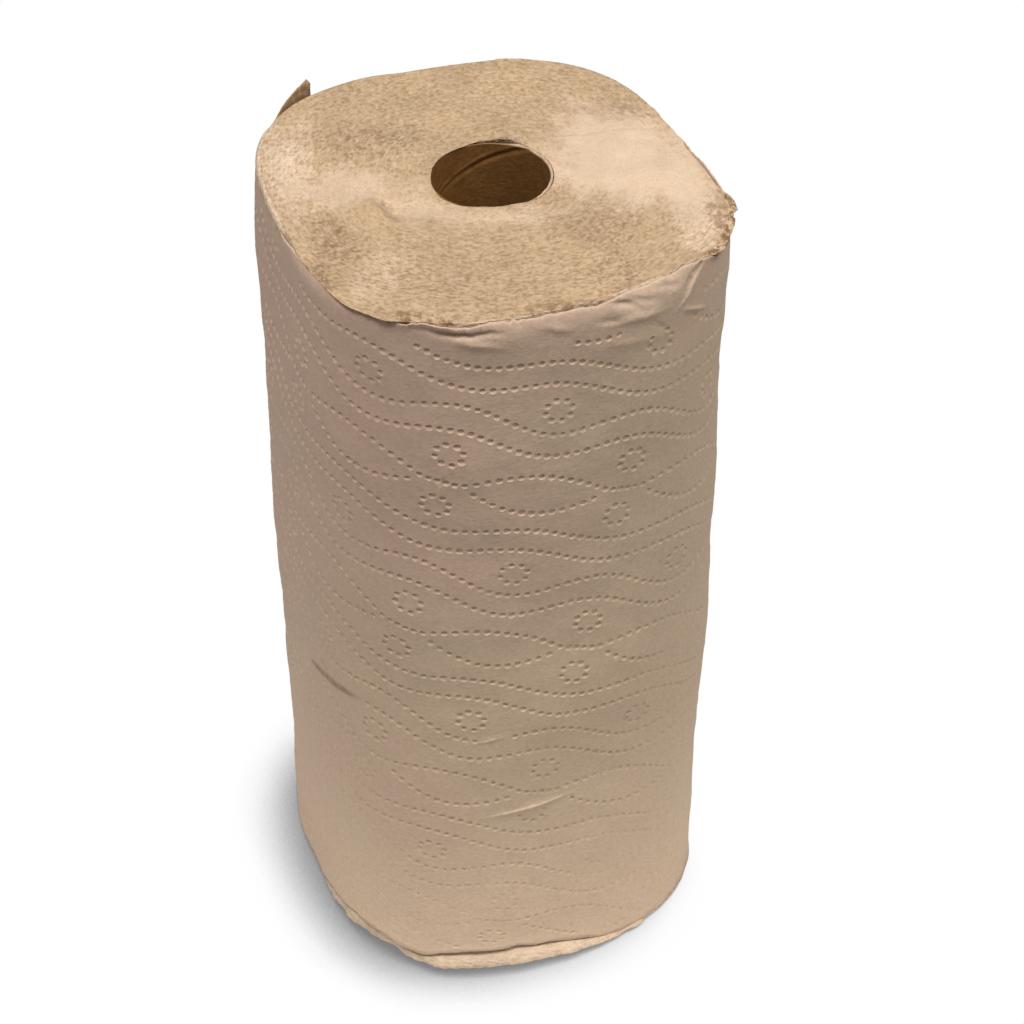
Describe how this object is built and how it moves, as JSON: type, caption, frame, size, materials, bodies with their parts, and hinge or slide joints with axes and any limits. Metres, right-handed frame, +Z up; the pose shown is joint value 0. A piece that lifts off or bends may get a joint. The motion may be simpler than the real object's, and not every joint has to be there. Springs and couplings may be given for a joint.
{
  "type": "paper towel roll",
  "caption": "Slightly squashed roll of unbleached, dot-embossed paper towel wound on a spiral cardboard core, standing on its end with the towel's free corner sticking up.",
  "frame": {"origin": "on the core's axis at the bottom end of the roll, where it stands on the floor", "axes": "+Z up along the core's axis, -Y towards the front of the picture, +X to its right"},
  "size_m": [0.1468, 0.1502, 0.2874],
  "materials": {
    "towel": "matte, embossed",
    "core": "matte"
  },
  "bodies": {
    "root": {"towel_roll": "towel", "core_tube": "core"}
  },
  "joints": []
}
